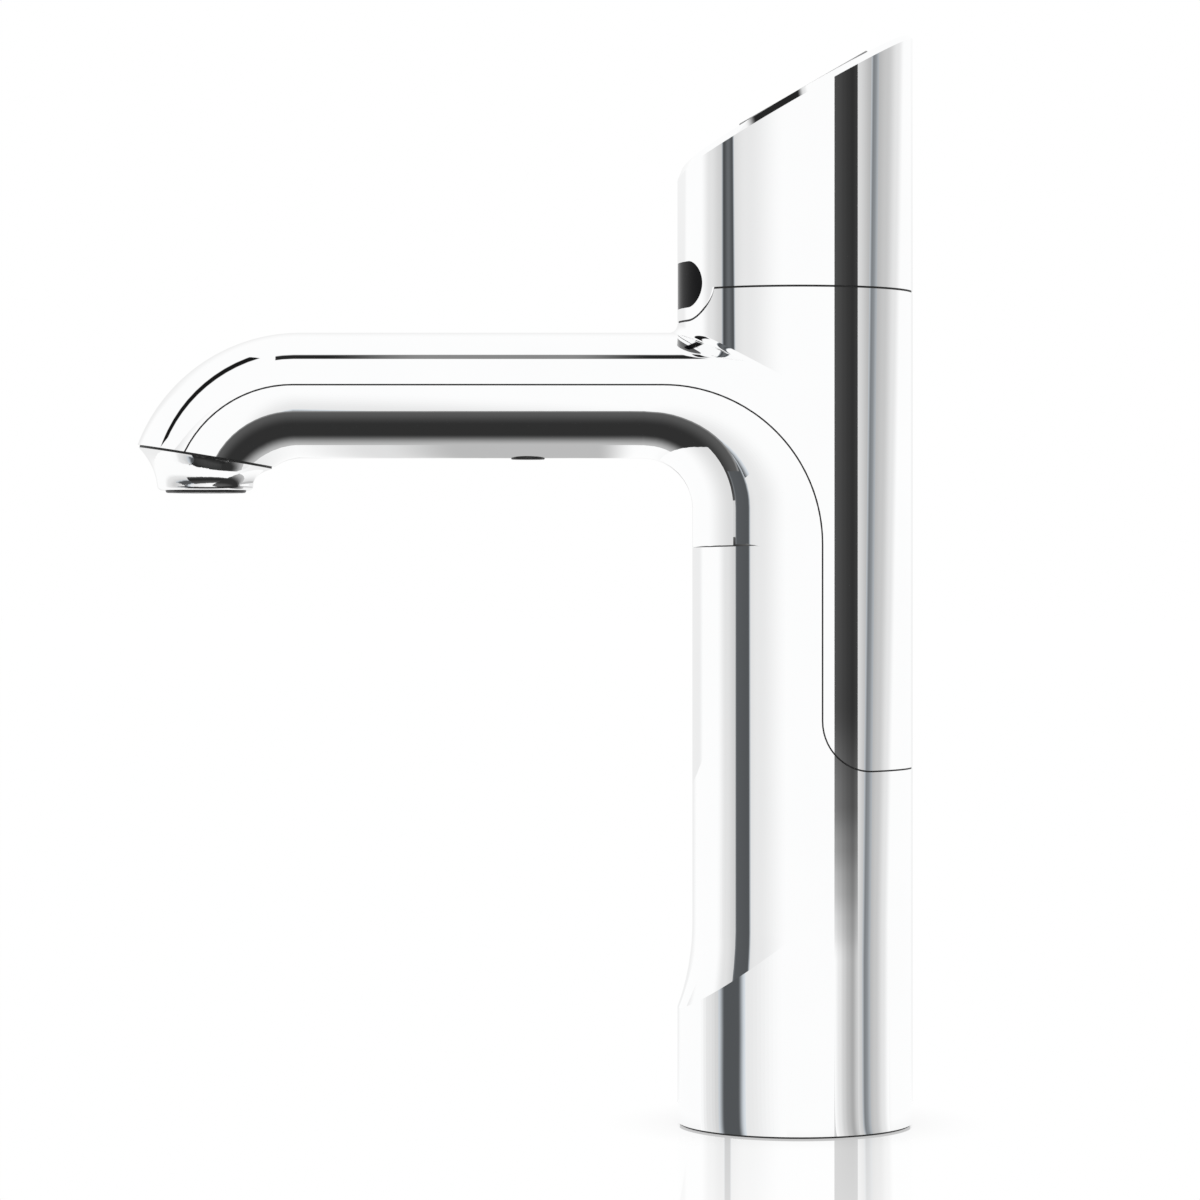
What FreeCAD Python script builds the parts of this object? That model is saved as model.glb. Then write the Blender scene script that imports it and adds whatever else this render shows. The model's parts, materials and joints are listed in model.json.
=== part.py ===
import FreeCAD, Part
import math
import os

from FreeCAD import Vector

# Boiling water tap, in millimetres. The origin is on the column axis at the bench, +Z is up and
# the spout points towards -X.

# Column
COLUMN_R = 30.0
COLUMN_WALL = 3.4
RECESS_DEPTH = 3.8
RECESS_FOOT_Z = 29.6
FLARE_R = 56.0
FLARE_TURN = 34.0
FOOT_WALL = 2.4
BASE_GASKET_T = 0.5
BASE_GASKET_INSET = 0.6

# Spout, an oval that is as wide as the column, and its bend at the tip
SPOUT_WALL = 2.0
SPOUT_Z = 187.4
SPOUT_RISE = 14.4
SPOUT_DROP = 17.6
INNER_CORNER_R = 12.9
TIP_X = -126.2
TIP_R = 29.8
TIP_TURN = 80.0
CREASE_R = 2.2
CREASE_SINK = 0.04
CREASE_REACH = 82
CREASE_STEP = 4

# Parting of the front body and the rear shell
SEAM = 0.4
SEAL_INSET = 0.3
LIP_T = 2.0
LIP_H = 6.0
PARTING_BEND_R = 39.6
PARTING_X = 5.5
PARTING_FOOT_R = 12.8
PARTING_FOOT_Z = 91.0

# Control head with its slanted top
RING_H = 10.2
HEAD_GAP = 0.5
LEDGE_LIFT = 0.6
LEDGE_T = 3.0
LEDGE_WIDTH = 7.6
HEAD_H = 66.4
HEAD_SLANT = 30.0
HEAD_TOP_WALL = 5.0
HEAD_BEVEL = 1.7
HEAD_BROW_INSET = 5.5
HEAD_BROW_R = 22.0
HEAD_BROW_TURN = 30.0
WINDOW_LIFT = 1.5
WINDOW_END_Y = 12.0
WINDOW_R = 5.85
TONGUE_RIM = 3.05
WINDOW_FLANGE_RIM = 1.55
WINDOW_FLANGE_T = 1.1
WINDOW_CLEARANCE = 0.1

# Two half-round push buttons on the slanted top
PAD_X = 3.0
PAD_R = 18.8
PAD_PROUD = 0.4
PAD_RIDGE = 2.1
PAD_EDGE_R = 0.3
BUTTON_T = 1.95
BUTTON_GAP = 0.5
BUTTON_TRAVEL = 0.6
POCKET_SPARE = 0.4
POCKET_CLEARANCE = 0.3
PLUNGER_R = 2.3
PLUNGER_CLEARANCE = 0.1
PLUNGER_Y = 9.0
PLUNGER_REACH = 2.0
SWITCH_SPARE = 0.1

# Boards in the head
BOARD_MARGIN = 4.1
BOARD_U = -7.0
BOARD_T = 1.6
SWITCH_SIDE = 6.0
SWITCH_STEM_R = 1.6
SWITCH_STEM_H = 0.9
CONNECTOR_H = 5.0
CONNECTOR_LENGTH = 6.0
CONNECTOR_WIDTH = 10.0
POST_R = 3.0
POST_H = 7.0
POST_INSET = 4.5
BOARD_SCREW_REACH = 4.5
SENSOR_Y = 6.0
SENSOR_R = 2.5
SENSOR_CLEARANCE = 0.2
SENSOR_BOARD_T = 1.4
SENSOR_HALF_Y = 12.5
SENSOR_HALF_Z = 5.5
HOLDER_EDGE_T = 0.8

# Nozzle at the spout end
END_TURN = 62.2
END_INSET = 2.33
END_TILT = 9.1
END_POINTS = 36
NOZZLE_INSET = 0.3
NOZZLE_GASKET_T = 0.6
NOZZLE_R = 12.2
NOZZLE_WALL = 1.9
NOZZLE_H = 8.8
NOZZLE_RIM_R = 1.1
NOZZLE_FLARE = 2.6
NOZZLE_STEPS = 6
SPIGOT_H = 1.6
SPIGOT_CLEARANCE = 1.4
INSERT_PROUD = 0.65
INSERT_H = 5.0
INSERT_HOLE_R = 0.9
INSERT_HOLE_PITCH = 3.6
INSERT_EDGE_R = 0.5
OUTLET_BORE_R = 5.0
OUTLET_SEAL_STEP = 1.3
OUTLET_SEAL_WIDTH = 2.7
OUTLET_SEAL_T = 1.0

# Water tubes, manifold, inlets and cable
TUBE_R = 4.0
TUBE_WALL = 1.0
TUBE_LIFT = 2.7
TUBE_BEND_R = 20.0
MANIFOLD_FRONT = 5.0
MANIFOLD_BACK = 10.5
MANIFOLD_CHEEK = 0.5
MANIFOLD_ROOF = 0.7
COLLAR_RIM = 1.45
SOCKET_DEPTH = 5.0
EAR_OUT = 3.0
EAR_R = 3.2
EAR_RISE = 5.6
MANIFOLD_SCREW_REACH = 7.0
CABLE_R = 2.5
CABLE_BEND_R = 25.0
CABLE_TAIL = 4.0
GUIDE_T = 4.0
GUIDE_HALF_X = 6.5
GUIDE_RIM = 2.5
GUIDE_LOW_Z = 60.0
GUIDE_HIGH_Z = 128.0
SPOUT_GUIDE_X = -95.0
SADDLE_RIM = 1.5
SADDLE_DROP = 3.0
SADDLE_FOOT = 6.0
SADDLE_LIFT = 0.3

# Base plate
PLATE_TOP_Z = 13.0
STUD_X = 12.5
STUD_R = 2.5
HUB_RIM = 2.8
INLET_WALL = 1.4
INLET_COLLAR_RIM = 0.8
INLET_COLLAR_H = 2.0
INLET_BORE_R = 3.2
INLET_SPACE = 0.2
INLET_SOCKET = 4.0
GLAND_WALL = 2.1
FITTING_FOOT_Z = 1.6
PLATE_SEAT_Z = 3.4
PLATE_SCREW_REACH = 8.0

# Screws
SCREW_R = 1.5
SCREW_HEAD_R = 2.75
SCREW_HEAD_H = 1.8
BOSS_R = 4.2
BASE_BOSS_H = 12.0
BASE_BOSS_ANGLES = (60.0, 180.0, 300.0)
HEAD_BOSS_RISE = 12.0
HEAD_BOSS_ANGLES = (75.0, 180.0, 285.0)
HEAD_SCREW_REACH = 2.0
PILOT_SPARE = 0.5
SPOUT_SCREW_X = -68.2
SPOUT_SCREW_R = 2.0
SPOUT_SCREW_HEAD_R = 3.5
SPOUT_SCREW_HEAD_H = 2.8
SPOUT_SCREW_COVER = 5.8
SPOUT_BOSS_R = 5.6
PLUG_R = 4.3
PLUG_H = 2.8
PLUG_PROUD = 0.3
PLUG_EDGE_R = 0.25
PLUG_SPARE = 0.9
REAR_BOSS_R = 4.6

# Fits
FIT = 0.05
LOOSE = 0.2
OVERLAP = 0.8
FAR = 60.0

Z_AXIS = Vector(0, 0, 1)
Y_AXIS = Vector(0, 1, 0)

# Places in the column and the spout that follow from these sizes
COLUMN_BORE_R = COLUMN_R - COLUMN_WALL
RECESS_FRONT = COLUMN_R - RECESS_DEPTH
BODY_FOOT_Z = BASE_GASKET_T
UNDER_Z = SPOUT_Z - SPOUT_DROP
CROWN_Z = SPOUT_Z + SPOUT_RISE
CORNER_X = -(RECESS_FRONT + INNER_CORNER_R)
CORNER_Z = UNDER_Z - INNER_CORNER_R
TIP_Z = SPOUT_Z - TIP_R
END_X = TIP_X - (TIP_R - END_INSET) * math.sin(math.radians(END_TURN))
END_Z = TIP_Z + (TIP_R - END_INSET) * math.cos(math.radians(END_TURN))
PLUG_TOP_Z = UNDER_Z - PLUG_PROUD + PLUG_H
SPOUT_SEAT_Z = PLUG_TOP_Z + PLUG_SPARE + SPOUT_SCREW_HEAD_H
SPOUT_TIP_Z = CROWN_Z - SPOUT_SCREW_COVER

# Places in the head
LEDGE_Z = CROWN_Z - SPOUT_WALL + LEDGE_LIFT
LEDGE_R = COLUMN_BORE_R - LEDGE_WIDTH
HEAD_SEAM_Z = CROWN_Z + RING_H
HEAD_BACK_Z = HEAD_SEAM_Z + HEAD_H
HEAD_BROW_X = HEAD_BROW_INSET - COLUMN_R
HEAD_BOSS_RING_R = COLUMN_BORE_R - BOSS_R + OVERLAP
HEAD_BOSS_TOP_Z = HEAD_SEAM_Z + HEAD_BOSS_RISE
HEAD_SCREW_TIP_Z = HEAD_SEAM_Z + HEAD_SCREW_REACH
WINDOW_Z = HEAD_SEAM_Z + WINDOW_LIFT
TONGUE_R = WINDOW_R + TONGUE_RIM
WINDOW_BACK_R = COLUMN_BORE_R - FIT - WINDOW_FLANGE_T
HOLDER_R = WINDOW_BACK_R - FIT
SENSOR_BOARD_X = HOLDER_EDGE_T - math.sqrt(HOLDER_R ** 2 - SENSOR_HALF_Y ** 2)
SENSOR_FRONT_X = SENSOR_CLEARANCE - math.sqrt(HOLDER_R ** 2 - (SENSOR_Y + SENSOR_R) ** 2)
PAD_Z = HEAD_BACK_Z - (COLUMN_R - PAD_X) * math.tan(math.radians(HEAD_SLANT))
POCKET_DEPTH = BUTTON_T - PAD_PROUD + BUTTON_TRAVEL + POCKET_SPARE
PLUNGER_END = HEAD_TOP_WALL + PLUNGER_REACH
SWITCH_GAP = BUTTON_TRAVEL + SWITCH_SPARE
BOARD_R = COLUMN_BORE_R - BOARD_MARGIN
BOARD_DEPTH = HEAD_TOP_WALL + POST_H
POST_RING_R = BOARD_R - POST_INSET

# Places in the base, the tubes and the outlet
PLATE_R = COLUMN_R - FOOT_WALL - LOOSE
BASE_BOSS_RING_R = COLUMN_BORE_R - BOSS_R + OVERLAP
BASE_GASKET_BORE_R = STUD_X + STUD_R + HUB_RIM + LOOSE
PLATE_SCREW_TIP_Z = PLATE_TOP_Z + PLATE_SCREW_REACH
INLET_R = TUBE_R + INLET_WALL
INLET_COLLAR_R = INLET_R + INLET_COLLAR_RIM
GLAND_R = CABLE_R + GLAND_WALL
TUBE_Y = GLAND_R + INLET_COLLAR_R + INLET_SPACE
TUBE_FOOT_Z = PLATE_TOP_Z - INLET_SOCKET
TUBE_RUN_Z = UNDER_Z + SPOUT_WALL + TUBE_LIFT + TUBE_R
MANIFOLD_FRONT_X = END_X - MANIFOLD_FRONT
MANIFOLD_BACK_X = END_X + MANIFOLD_BACK
MANIFOLD_HALF_Y = TUBE_Y + TUBE_R + MANIFOLD_CHEEK
MANIFOLD_TOP_Z = TUBE_RUN_Z + TUBE_R + MANIFOLD_ROOF
EAR_Y = MANIFOLD_HALF_Y + EAR_OUT
EAR_TOP_Z = END_Z + EAR_RISE
MANIFOLD_SCREW_TIP_Z = EAR_TOP_Z - MANIFOLD_SCREW_REACH
NOZZLE_RIM_Z = END_Z - NOZZLE_H
INSERT_R = NOZZLE_R - NOZZLE_WALL - FIT
OUTLET_SEAL_BORE_R = OUTLET_BORE_R + OUTLET_SEAL_STEP
OUTLET_SEAL_R = OUTLET_SEAL_BORE_R + OUTLET_SEAL_WIDTH


def point(x, z, y=0.0):
    return Vector(x, y, z)


def cylinder(radius, bottom, top, x=0.0, y=0.0):
    return Part.makeCylinder(radius, top - bottom, Vector(x, y, bottom), Z_AXIS)


def box(x0, x1, y0, y1, z0, z1):
    return Part.makeBox(x1 - x0, y1 - y0, z1 - z0, Vector(x0, y0, z0))


def fuse(shapes):
    whole = shapes[0]
    for shape in shapes[1:]:
        whole = whole.fuse(shape)
    return whole


def cut(shape, tools):
    for tool in tools:
        shape = shape.cut(tool)
    return shape


def around(ring_r, angles):
    """Places on a ring round the column axis, with angles counted from the front."""
    turns = [math.radians(180 - a) for a in angles]
    return [(ring_r * math.cos(t), ring_r * math.sin(t)) for t in turns]


def prism_xz(edges, half_y):
    """Solid of a closed outline in the XZ plane, as wide as half_y on both sides."""
    face = Part.Face(Part.Wire(edges))
    face.translate(Vector(0, -half_y, 0))
    return face.extrude(Vector(0, 2 * half_y, 0))


def path_lines(points):
    return [Part.makeLine(a, b) for a, b in zip(points, points[1:])]


def half_oval(centre, crown, half_width):
    """Closed outline of half an oval: flat along Y at the centre, curved up to the crown point."""
    side = Vector(0, half_width, 0)
    oval = Part.Ellipse(centre + side, crown, centre)
    curve = Part.ArcOfEllipse(oval, 0, math.pi).toShape()
    chord = Part.makeLine(centre - side, centre + side)
    return Part.Wire([curve, chord])


def spout_section(x, inset):
    """Oval face across the spout: its crown over the parting height, its underside below it."""
    half_width = COLUMN_R - inset
    centre = point(x, SPOUT_Z)
    side = Vector(0, half_width, 0)
    crown = Part.Ellipse(centre + side, point(x, SPOUT_Z + SPOUT_RISE - inset), centre)
    under = Part.Ellipse(centre - side, point(x, SPOUT_Z - SPOUT_DROP + inset), centre)
    arcs = [Part.ArcOfEllipse(oval, 0, math.pi).toShape() for oval in (crown, under)]
    return Part.Face(Part.Wire(arcs))


def half_cylinder(radius, bottom, top, front):
    solid = Part.makeCylinder(radius, top - bottom, Vector(0, 0, bottom), Z_AXIS, 180)
    solid.rotate(Vector(0, 0, 0), Z_AXIS, 90 if front else -90)
    return solid


def flare_top_z():
    """Height where the recess of the column begins to flare out to the full base."""
    grow = COLUMN_R ** 2 / RECESS_FRONT - COLUMN_R
    turn = math.acos(1 - grow / FLARE_R)
    return RECESS_FOOT_Z + FLARE_R * math.sin(turn)


def flared_foot(bottom):
    """Front half of the base: the full cylinder where the flared oval recess leaves it."""
    top = flare_top_z()
    wide = COLUMN_R + FLARE_R

    def flare(turn):
        t = math.radians(turn)
        return point(wide - FLARE_R * math.cos(t), top - FLARE_R * math.sin(t))

    curve = Part.Arc(flare(0), flare(FLARE_TURN / 2), flare(FLARE_TURN)).toShape()
    foot = flare(FLARE_TURN)
    rest = path_lines([foot, point(wide, foot.z), point(wide, bottom), point(0, bottom),
                       point(0, top), flare(0)])
    horn = Part.Face(Part.Wire([curve] + rest)).revolve(Vector(0, 0, 0), Z_AXIS, 360)
    squeeze = FreeCAD.Matrix()
    squeeze.scale(RECESS_FRONT / COLUMN_R, 1, 1)
    return horn.transformGeometry(squeeze).common(half_cylinder(COLUMN_R, bottom, top, True))


def column_front(radius, front, bottom):
    """Recessed front half of the column, up to the bend under the spout."""
    outline = half_oval(point(0, bottom), point(-front, bottom), radius)
    return Part.Face(outline).extrude(Vector(0, 0, CORNER_Z - bottom))


def corner_bend(column_inset, spout_inset):
    """Bend from the underside of the spout into the front of the column, with its flat cheeks."""
    reach_z = SPOUT_Z - CORNER_Z
    wires = []
    for turn in range(0, 91, 10):
        s, c = math.sin(math.radians(turn)), math.cos(math.radians(turn))
        centre = point(CORNER_X - CORNER_X * s, CORNER_Z + reach_z * c)
        deep = Vector((RECESS_FRONT - column_inset) * s, 0, (SPOUT_DROP - spout_inset) * c)
        out = Vector(deep).normalize() * FAR
        side = Vector(0, COLUMN_R - column_inset * s * s - spout_inset * c * c, 0)
        oval = Part.Ellipse(centre + side, centre - deep, centre)
        curve = Part.ArcOfEllipse(oval, 0, math.pi).toShape()
        cheeks = path_lines([centre - side, centre - side + out, centre + side + out, centre + side])
        wires.append(Part.Wire([curve] + cheeks))
    bend = Part.makeLoft(wires, True, False)
    return bend.common(box(CORNER_X, 0, -FAR, FAR, CORNER_Z, SPOUT_Z))


def spout(inset):
    """Spout from the column axis to the bent tip, and its crown alone over the corner bend."""
    bar = spout_section(CORNER_X, inset).extrude(Vector(TIP_X - CORNER_X, 0, 0))
    tip = spout_section(TIP_X, inset).revolve(point(TIP_X, TIP_Z), Y_AXIS, -TIP_TURN)
    root = spout_section(0, inset).extrude(Vector(CORNER_X, 0, 0))
    crown = root.common(box(CORNER_X, 0, -FAR, FAR, SPOUT_Z, SPOUT_Z + FAR))
    return [bar, tip, crown]


def crown_place(turn, lift):
    """Place over the spout's crown at a turn from its top, and the crown's normal there."""
    normal = Vector(0, math.sin(turn) / COLUMN_R, math.cos(turn) / SPOUT_RISE).normalize()
    place = point(0, SPOUT_Z + SPOUT_RISE * math.cos(turn), COLUMN_R * math.sin(turn))
    return place + normal * lift, normal


def crease_section(turn):
    """Cross-section of the fillet between column and crown, at a turn from the front of the column."""
    a = math.radians(turn)
    side = (COLUMN_R + CREASE_R) * math.sin(a)
    low, high = -math.pi / 2, math.pi / 2
    while high - low > 1e-6:
        middle = (low + high) / 2
        if crown_place(middle, CREASE_R)[0].y < side:
            low = middle
        else:
            high = middle
    centre, up = crown_place(low, CREASE_R)
    centre.x = -(COLUMN_R + CREASE_R) * math.cos(a)
    out = Vector(-math.cos(a), math.sin(a), 0)
    inward = (out + up).normalize() * CREASE_R
    ends = [centre - way * (CREASE_R + CREASE_SINK) for way in (out, up)]
    curve = Part.Arc(ends[0], centre - inward, ends[1]).toShape()
    return Part.Wire([curve] + path_lines([ends[1], centre - inward * 2, ends[0]]))


def crease_fillet():
    """Fillet in the crease between the spout's crown and the column; it fades out at the flanks."""
    turns = range(-CREASE_REACH, CREASE_REACH + 1, CREASE_STEP)
    return Part.makeLoft([crease_section(turn) for turn in turns], True, False)


def form(column_inset, spout_inset, bottom, top):
    """Whole solid of column and spout, drawn in by the insets, with an upright full-round top."""
    radius = COLUMN_R - column_inset
    front = RECESS_FRONT - column_inset
    pieces = spout(spout_inset) + [corner_bend(column_inset, spout_inset)]
    if column_inset:
        pieces.append(column_front(radius, front, bottom))
    else:
        pieces.append(column_front(radius, front, flare_top_z()))
        pieces.append(flared_foot(bottom))
    pieces.append(half_cylinder(radius, bottom, top, False))
    pieces.append(half_cylinder(radius, SPOUT_Z, top, True))
    return fuse(pieces)


def arc(centre_x, centre_z, radius, start, stop):
    """Arc in the XZ plane between two angles in degrees, counted from +X towards +Z."""
    turns = [math.radians(a) for a in (start, (start + stop) / 2, stop)]
    places = [point(centre_x + radius * math.cos(t), centre_z + radius * math.sin(t)) for t in turns]
    return Part.Arc(*places).toShape()


def rear_block(shift):
    """Everything over and behind the parting line, with the line moved that way by the shift."""
    bend_x = PARTING_X - PARTING_BEND_R
    foot_z = PARTING_FOOT_Z + PARTING_FOOT_R
    tip = arc(TIP_X, TIP_Z, TIP_R + shift, 90 + TIP_TURN, 90)
    bend = arc(bend_x, SPOUT_Z - PARTING_BEND_R, PARTING_BEND_R + shift, 90, 0)
    foot = arc(PARTING_X + PARTING_FOOT_R, foot_z, PARTING_FOOT_R - shift, 180, 270)
    start, back = tip.Vertexes[0].Point, FAR
    top, left = HEAD_BACK_Z + FAR, TIP_X - 2 * FAR
    edges = [tip, Part.makeLine(tip.Vertexes[1].Point, bend.Vertexes[0].Point), bend]
    edges += [Part.makeLine(bend.Vertexes[1].Point, foot.Vertexes[0].Point), foot]
    edges += path_lines([foot.Vertexes[1].Point, point(back, PARTING_FOOT_Z + shift), point(back, top),
                         point(left, top), point(left, start.z), start])
    return prism_xz(edges, FAR)


def slot(radius, grow=0.0):
    """Prism along X over the front half, with the outline of the sensor window at that radius."""
    r = radius + grow
    low, high = WINDOW_Z - r, WINDOW_Z + r
    y = WINDOW_END_Y
    right = Part.Arc(Vector(0, y, low), Vector(0, y + r, WINDOW_Z), Vector(0, y, high)).toShape()
    left = Part.Arc(Vector(0, -y, high), Vector(0, -y - r, WINDOW_Z), Vector(0, -y, low)).toShape()
    lines = [Part.makeLine(Vector(0, y, high), Vector(0, -y, high)),
             Part.makeLine(Vector(0, -y, low), Vector(0, y, low))]
    outline = Part.Wire([right, lines[0], left, lines[1]])
    return Part.Face(outline).extrude(Vector(-FAR, 0, 0))


def tube(outer_r, inner_r, bottom, top, x=0.0, y=0.0):
    return cylinder(outer_r, bottom, top, x, y).cut(cylinder(inner_r, bottom, top, x, y))


def on_slant(shape):
    """Moves a shape from the frame of the slanted top (Z outwards, X up the slope) to the tap's."""
    shape.rotate(Vector(0, 0, 0), Y_AXIS, -HEAD_SLANT)
    shape.translate(point(PAD_X, PAD_Z))
    return shape


def on_end(shape):
    """Moves a shape from the frame of the spout end (Z into the spout) to the tap's."""
    shape.rotate(Vector(0, 0, 0), Y_AXIS, END_TILT)
    shape.translate(point(END_X, END_Z))
    return shape


def below_end(height):
    return on_end(box(-FAR / 2, FAR / 3, -FAR, FAR, -FAR, height))


def in_tip(place):
    """True where a place lies inside the oval bend of the tip."""
    out = math.hypot(place.x - TIP_X, place.z - TIP_Z) - TIP_R
    depth = out / SPOUT_RISE if out > 0 else out / SPOUT_DROP
    return depth ** 2 + (place.y / COLUMN_R) ** 2 < 1


def end_reach(turn):
    """Distance from the middle of the spout end to its edge, in that direction of the end plane."""
    tilt = math.radians(END_TILT)
    way = Vector(math.cos(turn) * math.cos(tilt), math.sin(turn), -math.cos(turn) * math.sin(tilt))
    near, far = 0.0, 2 * COLUMN_R
    while far - near > 0.001:
        middle = (near + far) / 2
        if in_tip(point(END_X, END_Z) + way * middle):
            near = middle
        else:
            far = middle
    return near


def end_outline(inset, height, squeeze=1.0, tilt=END_TILT):
    """Outline of the spout end drawn in by the inset, or squeezed from there towards the outlet."""
    places = []
    for step in range(END_POINTS):
        turn = 2 * math.pi * step / END_POINTS
        reach = NOZZLE_R + (end_reach(turn) - inset - NOZZLE_R) * squeeze
        places.append(Vector(reach * math.cos(turn), reach * math.sin(turn), height))
    curve = Part.BSplineCurve()
    curve.interpolate(places, PeriodicFlag=True)
    outline = Part.Wire(curve.toShape())
    outline.rotate(Vector(0, 0, 0), Y_AXIS, tilt)
    outline.translate(point(END_X, END_Z))
    return outline


def end_plate(inset, bottom, top):
    rise = math.radians(END_TILT)
    lift = Vector(math.sin(rise), 0, math.cos(rise)) * (top - bottom)
    return Part.Face(end_outline(inset, bottom)).extrude(lift)


def screw(x, y, seat, tip, radius=SCREW_R, head_r=SCREW_HEAD_R, head_h=SCREW_HEAD_H):
    """Upright screw with its head on the far side of the seat from its tip."""
    away = -1 if tip > seat else 1
    ends = sorted((seat, seat + away * head_h))
    shank_ends = sorted((seat, tip))
    drive = cylinder(head_r / 3, *sorted((seat + away * head_h / 2, seat + away * head_h)), x, y)
    return cylinder(head_r, *ends, x, y).cut(drive).fuse(cylinder(radius, *shank_ends, x, y))


def bent_tube(places, bend_r, profile_r, bore_r=0.0):
    """Round tube along straight runs through three places, with a tangent arc at the middle one."""
    first, corner, last = places
    ways = [(first - corner).normalize(), (last - corner).normalize()]
    half = ways[0].getAngle(ways[1]) / 2
    length = bend_r / math.tan(half)
    ends = [corner + way * length for way in ways]
    inward = (ways[0] + ways[1]).normalize()
    middle = corner + inward * (bend_r / math.sin(half) - bend_r)
    path = Part.Wire([Part.makeLine(first, ends[0]), Part.Arc(ends[0], middle, ends[1]).toShape(),
                      Part.makeLine(ends[1], last)])
    rings = [Part.Wire(Part.makeCircle(r, first, corner - first)) for r in (profile_r, bore_r) if r]
    pipes = [path.makePipe(Part.Face(ring)) for ring in rings]
    return pipes[0].cut(pipes[1]) if bore_r else pipes[0]


def base_bosses():
    places = around(BASE_BOSS_RING_R, BASE_BOSS_ANGLES)
    return [tube(BOSS_R, SCREW_R + FIT, PLATE_TOP_Z, PLATE_TOP_Z + BASE_BOSS_H, x, y) for x, y in places]


def front_body(shell):
    """Base, column front and underside of the spout, with the bosses for its screws."""
    pocket = cylinder(PLATE_R + LOOSE, 0, PLATE_TOP_Z)
    body = cut(shell, [rear_block(-SEAM / 2), below_end(0), pocket])
    boss = cylinder(SPOUT_BOSS_R, UNDER_Z + SPOUT_WALL / 2, SPOUT_Z - SEAM / 2, SPOUT_SCREW_X)
    body = fuse([body, boss] + base_bosses())
    plug_hole = cylinder(PLUG_R + FIT, UNDER_Z - OVERLAP, PLUG_TOP_Z, SPOUT_SCREW_X)
    head_hole = cylinder(SPOUT_SCREW_HEAD_R + LOOSE, PLUG_TOP_Z, SPOUT_SEAT_Z, SPOUT_SCREW_X)
    shank_hole = cylinder(SPOUT_SCREW_R + LOOSE, SPOUT_SEAT_Z, SPOUT_Z, SPOUT_SCREW_X)
    return cut(body, [plug_hole, head_hole, shank_hole])


def rear_shell(shell):
    """Rear of the column, ring below the head and top of the spout."""
    body = shell.common(rear_block(SEAM / 2)).cut(below_end(0)).cut(slot(TONGUE_R, HEAD_GAP))
    ledge = tube(COLUMN_BORE_R + OVERLAP, LEDGE_R, LEDGE_Z, LEDGE_Z + LEDGE_T)
    boss = cylinder(REAR_BOSS_R, SPOUT_Z + SEAM / 2, CROWN_Z - SPOUT_WALL / 2, SPOUT_SCREW_X)
    lip_r = COLUMN_BORE_R - LOOSE
    lip = tube(lip_r, lip_r - LIP_T, PARTING_FOOT_Z - LIP_H, PARTING_FOOT_Z + LIP_H)
    root = tube(COLUMN_BORE_R + OVERLAP, lip_r - LIP_T, PARTING_FOOT_Z + SEAM, PARTING_FOOT_Z + LIP_H)
    behind = box(PARTING_X + PARTING_FOOT_R, FAR, -FAR, FAR, 0, HEAD_SEAM_Z)
    body = fuse([body, ledge, boss, lip.fuse(root).common(behind)])
    holes = [cylinder(SCREW_R + LOOSE, LEDGE_Z, LEDGE_Z + LEDGE_T, x, y)
             for x, y in around(HEAD_BOSS_RING_R, HEAD_BOSS_ANGLES)]
    pilot = cylinder(SPOUT_SCREW_R + FIT, SPOUT_Z, SPOUT_TIP_Z + PILOT_SPARE, SPOUT_SCREW_X)
    return cut(body, holes + [pilot])


def parting_seal(inner):
    """Thin strip in the joint between the two shells, a little below the outer surface."""
    ring = form(SEAL_INSET, SEAL_INSET, PLATE_TOP_Z, HEAD_SEAM_Z - HEAD_GAP).cut(inner)
    strip = rear_block(-SEAM / 2).cut(rear_block(SEAM / 2))
    return ring.common(strip).cut(below_end(0))


def head_top_block():
    """Everything below the slanted top of the head, whose front edge rolls down."""
    slope = math.tan(math.radians(HEAD_SLANT))
    brow_z = HEAD_BACK_Z - (COLUMN_R - HEAD_BROW_X) * slope
    turn = 90 + HEAD_SLANT
    lean = math.radians(turn)
    centre_x = HEAD_BROW_X - HEAD_BROW_R * math.cos(lean)
    centre_z = brow_z - HEAD_BROW_R * math.sin(lean)
    brow = arc(centre_x, centre_z, HEAD_BROW_R, turn, turn + HEAD_BROW_TURN)
    front = brow.Vertexes[1].Point
    rest = [front, point(-FAR, front.z), point(-FAR, 0), point(FAR, 0),
            point(FAR, HEAD_BACK_Z + (FAR - COLUMN_R) * slope), brow.Vertexes[0].Point]
    return prism_xz([brow] + path_lines(rest), FAR)


def rim_edges(solid):
    """Edges round the slanted top, all of them on the column's radius."""
    found = []
    for edge in solid.Edges:
        places = edge.discretize(5)
        on_wall = all(abs(math.hypot(q.x, q.y) - COLUMN_R) < FIT for q in places)
        upright = edge.Length > COLUMN_R and abs(places[0].x - places[-1].x) < FIT
        if on_wall and not upright and edge.BoundBox.ZMin > HEAD_SEAM_Z:
            found.append(edge)
    return found


def head_bosses():
    """Bosses that stand on the ledge of the rear shell and join the head's wall over the seam."""
    solids = []
    for x, y in around(HEAD_BOSS_RING_R, HEAD_BOSS_ANGLES):
        low = cylinder(BOSS_R, LEDGE_Z + LEDGE_T, HEAD_SEAM_Z + OVERLAP, x, y)
        low = low.common(cylinder(COLUMN_BORE_R - LOOSE, LEDGE_Z, HEAD_SEAM_Z + OVERLAP))
        high = cylinder(BOSS_R, HEAD_SEAM_Z + OVERLAP, HEAD_BOSS_TOP_Z, x, y)
        pilot = cylinder(SCREW_R + FIT, LEDGE_Z, HEAD_SCREW_TIP_Z + PILOT_SPARE, x, y)
        solids.append(low.fuse(high).cut(pilot))
    return solids


def board_places():
    """Places of the board's three posts in the frame of the slanted top."""
    turns = [math.radians(a) for a in (0, 120, 240)]
    return [(BOARD_U + POST_RING_R * math.cos(t), POST_RING_R * math.sin(t)) for t in turns]


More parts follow.
